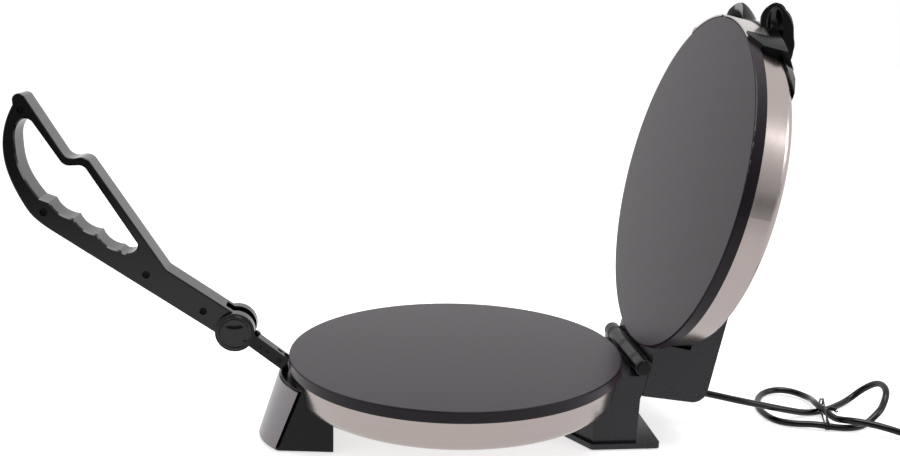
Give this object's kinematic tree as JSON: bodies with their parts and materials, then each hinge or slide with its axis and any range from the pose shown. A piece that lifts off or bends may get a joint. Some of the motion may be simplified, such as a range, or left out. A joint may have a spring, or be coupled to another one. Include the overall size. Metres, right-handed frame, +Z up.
{
  "type": "electric roti maker",
  "caption": "Round non-stick roti press with a hinged upper hot plate, steel housings, black feet and a folding press lever.",
  "frame": {"origin": "middle of the machine's length and width at the surface that its rubber feet stand on, without the cord", "axes": "+Z up, +Y towards the hinge and the cord, -Y towards the press lever, X along the hinge pin"},
  "size_m": [0.3, 0.9155, 0.3899],
  "materials": {
    "housing_steel": "satin",
    "nonstick_coating": "satin",
    "gasket_rubber": "matte",
    "reflector_sheet": "satin",
    "heater_sheath": "satin",
    "clamp_steel": "satin",
    "control_ceramic": "matte",
    "screw_steel": "satin",
    "handle_screw_black": "gloss",
    "pin_steel": "polished",
    "spring_steel": "satin",
    "black_phenolic": "gloss",
    "black_foot_plastic": "satin",
    "lever_black": "gloss",
    "foot_cover_silver": "satin",
    "wear_steel": "satin",
    "foot_rubber": "matte",
    "cord_sheath": "satin",
    "plug_body": "satin",
    "plug_brass": "satin",
    "red_lens": "gloss",
    "green_lens": "gloss"
  },
  "bodies": {
    "base": {"lower_housing": "housing_steel", "lower_plate": "nonstick_coating", "lower_gasket": "gasket_rubber", "lower_reflector": "reflector_sheet", "lower_heating_element": "heater_sheath", "lower_element_clamps": "clamp_steel", "lower_thermostat": "control_ceramic", "lower_thermal_fuse": "control_ceramic", "lower_plate_screws": "screw_steel", "rear_foot": "black_foot_plastic", "rear_foot_pads": "foot_rubber", "front_foot": "black_foot_plastic", "front_foot_cover": "foot_cover_silver", "front_foot_pads": "foot_rubber", "foot_screws": "screw_steel", "hinge_pin": "pin_steel", "hinge_cap_far": "black_foot_plastic", "lever_pivot_pin": "pin_steel", "terminal_block": "control_ceramic", "cord_gland": "cord_sheath", "power_cord": "cord_sheath", "cord_coil": "cord_sheath", "twist_tie": "cord_sheath", "plug": "plug_body", "plug_blades": "plug_brass"},
    "lid": {"upper_housing": "housing_steel", "upper_plate": "nonstick_coating", "upper_gasket": "gasket_rubber", "upper_reflector": "reflector_sheet", "upper_heating_element": "heater_sheath", "upper_element_clamps": "clamp_steel", "upper_thermostat": "control_ceramic", "upper_plate_screws": "screw_steel", "lid_hinge_block": "black_phenolic", "lid_front_bracket": "black_phenolic", "lid_wear_strip": "wear_steel", "bracket_screws": "screw_steel", "power_lens": "red_lens", "ready_lens": "green_lens", "hinge_cap_near": "black_foot_plastic"},
    "lever": {"lever_cover_near": "lever_black", "lever_cover_far": "lever_black", "lever_core": "lever_black", "lever_rivets": "pin_steel", "elbow_bolt": "pin_steel", "button_spring": "spring_steel"},
    "handle": {"handle_shell_near": "black_phenolic", "handle_shell_far": "black_phenolic", "handle_core": "black_phenolic", "handle_screws": "handle_screw_black", "elbow_cap_near": "black_phenolic", "elbow_cap_far": "black_phenolic"},
    "button": {"release_button": "black_phenolic"}
  },
  "joints": [
    {"name": "lid_hinge", "type": "hinge", "parent": "base", "child": "lid", "pos_m": [0, 0.211, 0.0755], "axis": [1, 0, 0], "range_deg": [0, 102.5]},
    {"name": "lever_pivot", "type": "hinge", "parent": "base", "child": "lever", "pos_m": [0, -0.1075, 0.0707], "axis": [-1, 0, 0], "range_deg": [0, 36]},
    {"name": "handle_fold", "type": "hinge", "parent": "lever", "child": "handle", "pos_m": [0, -0.14475, 0.10033], "axis": [-1, 0, 0], "range_deg": [0, 70]},
    {"name": "release_button_slide", "type": "slide", "parent": "lever", "child": "button", "axis": [0, -0.6225, -0.7826], "range_m": [0, 0.0014], "stiffness_N_per_m": 400, "deforming": ["button_spring"]}
  ]
}
